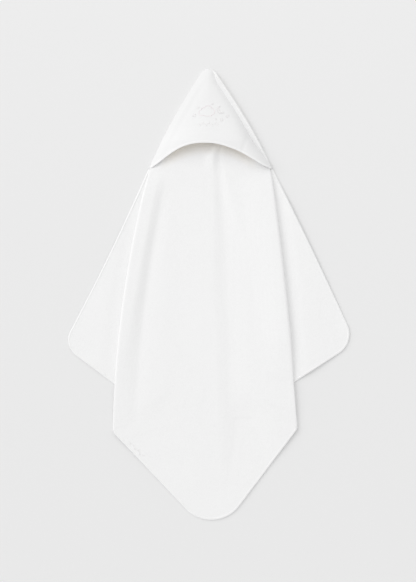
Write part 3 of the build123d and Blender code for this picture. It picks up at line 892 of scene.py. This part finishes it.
def terryFinish():                                     # cotton terry: short upright loops, soft and matt
    loopPitch, napSize = 1.15, 9                       # in mm
    # the second colour is painted warm shade for the hood's mouth, not a second colour of the terry
    plain, paintedShadeColour = "FAFAFA", "F9F4EC"
    archBend = 3.3                                     # of the hood's mouth, in metres: y + archBend * x * x
    material, tree, shader = finish("cotton terry", plain, 0.95, Sheen_Weight=0.35, Sheen_Roughness=0.6)
    place = add(tree, "ShaderNodeTexCoord").outputs["Object"]
    loops = add(tree, "ShaderNodeTexVoronoi", {"Vector": place, "Scale": 1 / (loopPitch * mm),
                                               "Randomness": 0.8})
    nap = add(tree, "ShaderNodeTexNoise", {"Vector": place, "Scale": 1 / (napSize * mm), "Detail": 3.0})
    tone = add(tree, "ShaderNodeMapRange", {"Value": loops.outputs["Distance"], "From Min": 0.1,
                                            "From Max": 0.75, "To Min": 1.0, "To Max": 0.93})
    # painted warm shade: in the hood's mouth the loops are tinted cream. This stands in for the warm light
    # bouncing about in its shade and is not a colour of the cloth
    parts = add(tree, "ShaderNodeSeparateXYZ", {"Vector": place}).outputs
    square = add(tree, "ShaderNodeMath", {0: parts["X"], 1: parts["X"]}, operation="MULTIPLY").outputs[0]
    arch = add(tree, "ShaderNodeMath", {0: square, 1: archBend, 2: parts["Y"]}, operation="MULTIPLY_ADD")
    inside = add(tree, "ShaderNodeMapRange", {"Value": arch.outputs[0], "From Min": 0.334, "From Max": 0.362})
    middle = add(tree, "ShaderNodeMapRange", {"Value": square, "From Min": 0.014, "From Max": 0.007})
    mouthShadeMask = add(tree, "ShaderNodeMath", {0: inside.outputs["Result"], 1: middle.outputs["Result"]},
                operation="MULTIPLY")
    # mixes the painted warm shade over the plain white where the mouth mask is 1
    paintedWarmShade = add(tree, "ShaderNodeMix", {"Factor": mouthShadeMask.outputs[0], "A": linear(plain), "B": linear(paintedShadeColour)},
                data_type="RGBA")
    shade = add(tree, "ShaderNodeMix", {"Factor": 1.0, "A": paintedWarmShade.outputs["Result"],
                                        "B": tone.outputs["Result"]}, data_type="RGBA", blend_type="MULTIPLY")
    tree.links.new(shade.outputs["Result"], shader.inputs["Base Color"])
    loopBump = add(tree, "ShaderNodeBump", {"Height": loops.outputs["Distance"], "Strength": 0.5,
                                            "Distance": -0.5 * mm})
    napBump = add(tree, "ShaderNodeBump", {"Height": nap.outputs["Fac"], "Strength": 0.35,
                                           "Distance": 1.2 * mm, "Normal": loopBump.outputs["Normal"]})
    tree.links.new(napBump.outputs["Normal"], shader.inputs["Normal"])
    return material


def satinFinish(name, colour, hollow):                 # filament rayon: silky, a soft light along every stitch
    strands = wovenPattern(0.35, 30, 0.6, ribs=True)
    return patterned(name, colour, hollow, 0.42, strands, 0.02, Sheen_Weight=0.2)


finishes = {
    "terry": terryFinish(),
    # cotton percale, plain-woven from combed yarn: close and even, smoother and cooler white than the terry
    "hood_cloth": patterned("cotton percale", "F2F2F2", "EBEBEB", 0.8, wovenPattern(0.5), 0.03,
                            Sheen_Weight=0.1),
    # bias tape, plain-woven and cut at 45 degrees: a crossed grain that leans along the edge
    "binding_tape": patterned("cotton bias tape", "FDFDFD", "F2F2F2", 0.82, wovenPattern(0.4, 45), 0.04),
    "embroidery_thread": satinFinish("rayon satin stitch", "FCFBFB", "F4F3F3"),
    "hood_cloud": satinFinish("blush rayon satin stitch", "FDF6F7", "F6EDEF"),
    # spun polyester, two plies: matt, with slanting shadows between the plies
    "sewing_thread": patterned("spun polyester thread", "F9F9F7", "EAEAE8", 0.7,
                               wovenPattern(0.45, 35, 0.3, ribs=True), 0.05),
    # bonded fleece: short fibres pressed every way, dull and a little cloudy
    "backing_fleece": patterned("bonded fleece", "F6F5F3", "E9E8E5", 0.95, fibrePattern(1.2, 6.0), 0.12),
    # woven polyester ribbon: fine ribs with a low gloss
    "label_tape": patterned("woven ribbon", "F9F9F7", "EFEFEC", 0.5,
                            wovenPattern(0.3, 90, 0.2, ribs=True), 0.03),
}
for piece in [o for o in bpy.data.objects if o.type == "MESH" and "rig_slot" in o]:
    piece.data.materials.clear()
    piece.data.materials.append(finishes.get(piece.name) or finishes[piece["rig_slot"]])

# Floor, light and camera

stage = {"floorSize": 12, "floorHeight": -0.0004, "floor": "EDEDED", "floorDark": "EBEBEB",
         "sky": 0.80, "skyColour": "FFFFFF",
         "key": 0.9, "keyFrom": (-2.2, 1.2, 1.5), "keySoftness": 38,
         "fill": 4.2, "fillPlace": (0.0, 2.0, 1.7), "fillSize": 1.4}
floor = bpy.data.meshes.new("floor")
bm = bmesh.new()
bmesh.ops.create_grid(bm, x_segments=2, y_segments=2, size=stage["floorSize"] / 2)
bm.to_mesh(floor)
bm.free()
floor = bpy.data.objects.new("floor", floor)
bpy.context.scene.collection.objects.link(floor)
floor.location.z = stage["floorHeight"]
# matt background paper: even, with the faint cloudiness of pressed pulp
paper = patterned("background paper", stage["floor"], stage["floorDark"], 0.9, fibrePattern(6, 5.0), 0.03)
floor.data.materials.append(paper)

world = bpy.data.worlds.new("studio")
bpy.context.scene.world = world
world.use_nodes = True
world.node_tree.nodes["Background"].inputs["Color"].default_value = linear(stage["skyColour"])
world.node_tree.nodes["Background"].inputs["Strength"].default_value = stage["sky"]


def light(name, kind, energy, place, **settings):
    data = bpy.data.lights.new(name, kind)
    data.energy = energy
    for key, value in settings.items():
        setattr(data, key, value)
    lamp = bpy.data.objects.new(name, data)
    lamp.location = place
    lamp.rotation_mode = "QUATERNION"
    lamp.rotation_quaternion = Vector(place).to_track_quat("Z", "Y")
    bpy.context.scene.collection.objects.link(lamp)


light("key", "SUN", stage["key"], stage["keyFrom"], angle=math.radians(stage["keySoftness"]))
light("fill", "AREA", stage["fill"], stage["fillPlace"], size=stage["fillSize"])

view = {"distance": 3.5, "centre": (-0.0012, 0.0084), "height": 1.3968}
lens = bpy.data.cameras.new("camera")
lens.sensor_fit = "AUTO"
lens.sensor_width = 36
lens.lens = 36 * view["distance"] / view["height"]
lens.clip_end = 50
camera = bpy.data.objects.new("camera", lens)
camera.location = (*view["centre"], view["distance"])
bpy.context.scene.collection.objects.link(camera)
bpy.context.scene.camera = camera
bpy.context.scene.view_settings.view_transform = "Standard"
bpy.context.scene.view_settings.look = "None"
